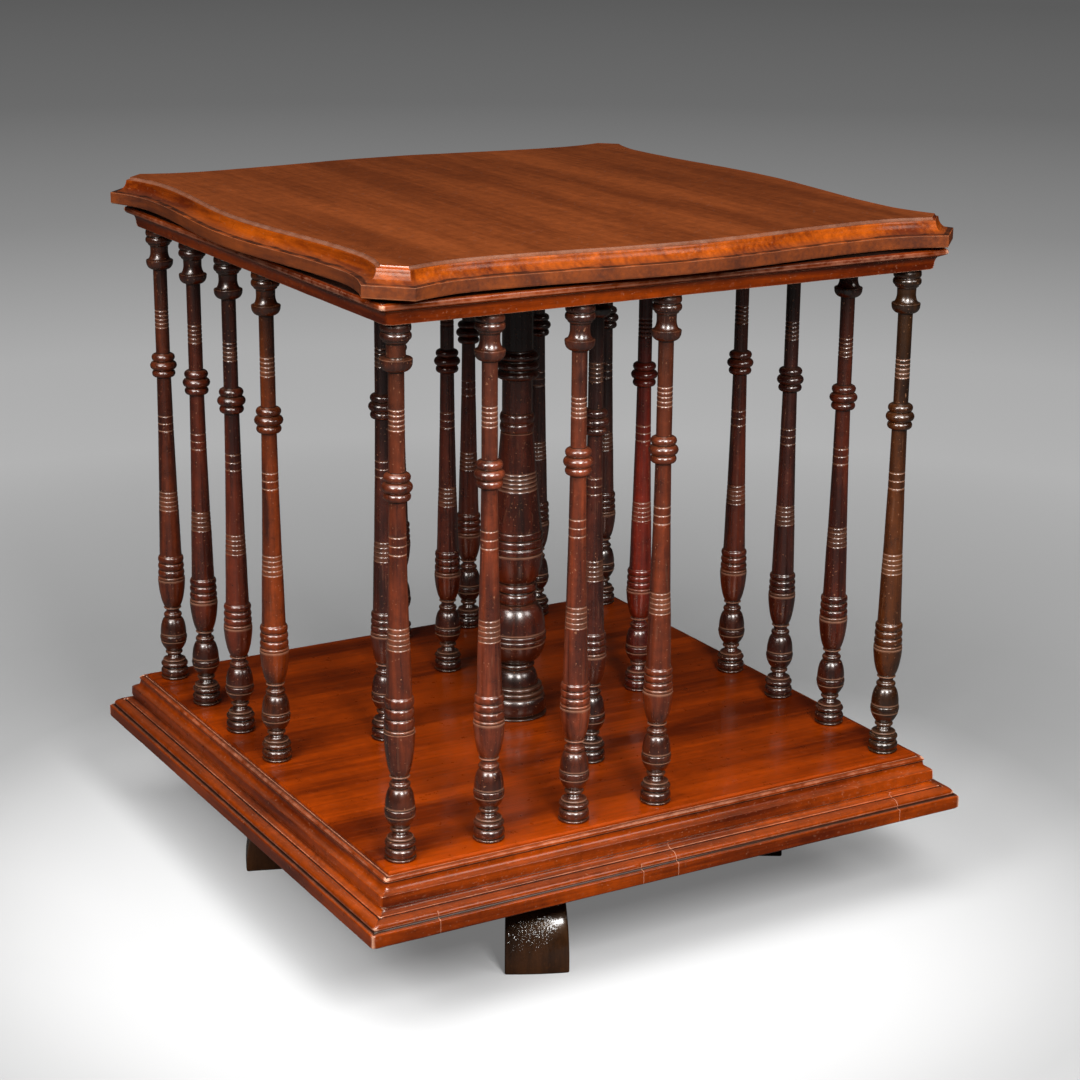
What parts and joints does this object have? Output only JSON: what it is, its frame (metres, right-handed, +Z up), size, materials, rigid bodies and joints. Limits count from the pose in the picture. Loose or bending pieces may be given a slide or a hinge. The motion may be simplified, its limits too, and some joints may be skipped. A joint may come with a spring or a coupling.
{
  "type": "revolving bookstand",
  "caption": "Square table-top bookstand of dark wood with turned spindles, a moulded base and a serpentine moulded top, turning on a cross foot.",
  "frame": {"origin": "on the floor under the turning axis", "axes": "+Z up along the turning axis, -Y out of the front side, -X out of the left side"},
  "size_m": [0.4058, 0.4058, 0.4332],
  "materials": {
    "mahogany_top": "polished",
    "mahogany_base": "polished",
    "mahogany_moulding": "polished",
    "mahogany_turned": "polished",
    "ebonised_foot": "satin",
    "bearing_iron": "plain",
    "pivot_steel": "turned",
    "bearing_brass": "turned"
  },
  "bodies": {
    "foot": {"foot_rail_lower": "ebonised_foot", "foot_rail_upper": "ebonised_foot", "pivot_pin": "pivot_steel", "pivot_nut": "pivot_steel", "bearing_plate_lower": "bearing_iron", "thrust_washer": "bearing_brass"},
    "carousel": {"bearing_plate_upper": "bearing_iron", "pivot_bush": "bearing_brass", "base_board": "mahogany_base", "subtop_board": "mahogany_top", "top_board": "mahogany_top", "column": "mahogany_turned", "base_mould_front": "mahogany_moulding", "base_mould_right": "mahogany_moulding", "base_mould_back": "mahogany_moulding", "base_mould_left": "mahogany_moulding", "cornice_front": "mahogany_moulding", "cornice_right": "mahogany_moulding", "cornice_back": "mahogany_moulding", "cornice_left": "mahogany_moulding", "spindle_front_1": "mahogany_turned", "spindle_front_2": "mahogany_turned", "spindle_front_3": "mahogany_turned", "spindle_front_4": "mahogany_turned", "spindle_front_inner": "mahogany_turned", "spindle_right_1": "mahogany_turned", "spindle_right_2": "mahogany_turned", "spindle_right_3": "mahogany_turned", "spindle_right_4": "mahogany_turned", "spindle_right_inner": "mahogany_turned", "spindle_back_1": "mahogany_turned", "spindle_back_2": "mahogany_turned", "spindle_back_3": "mahogany_turned", "spindle_back_4": "mahogany_turned", "spindle_back_inner": "mahogany_turned", "spindle_left_1": "mahogany_turned", "spindle_left_2": "mahogany_turned", "spindle_left_3": "mahogany_turned", "spindle_left_4": "mahogany_turned", "spindle_left_inner": "mahogany_turned"}
  },
  "joints": [
    {"name": "carousel_turn", "type": "hinge", "parent": "foot", "child": "carousel", "pos_m": [0, 0, 0.0704], "axis": [0, 0, 1], "continuous": true}
  ]
}
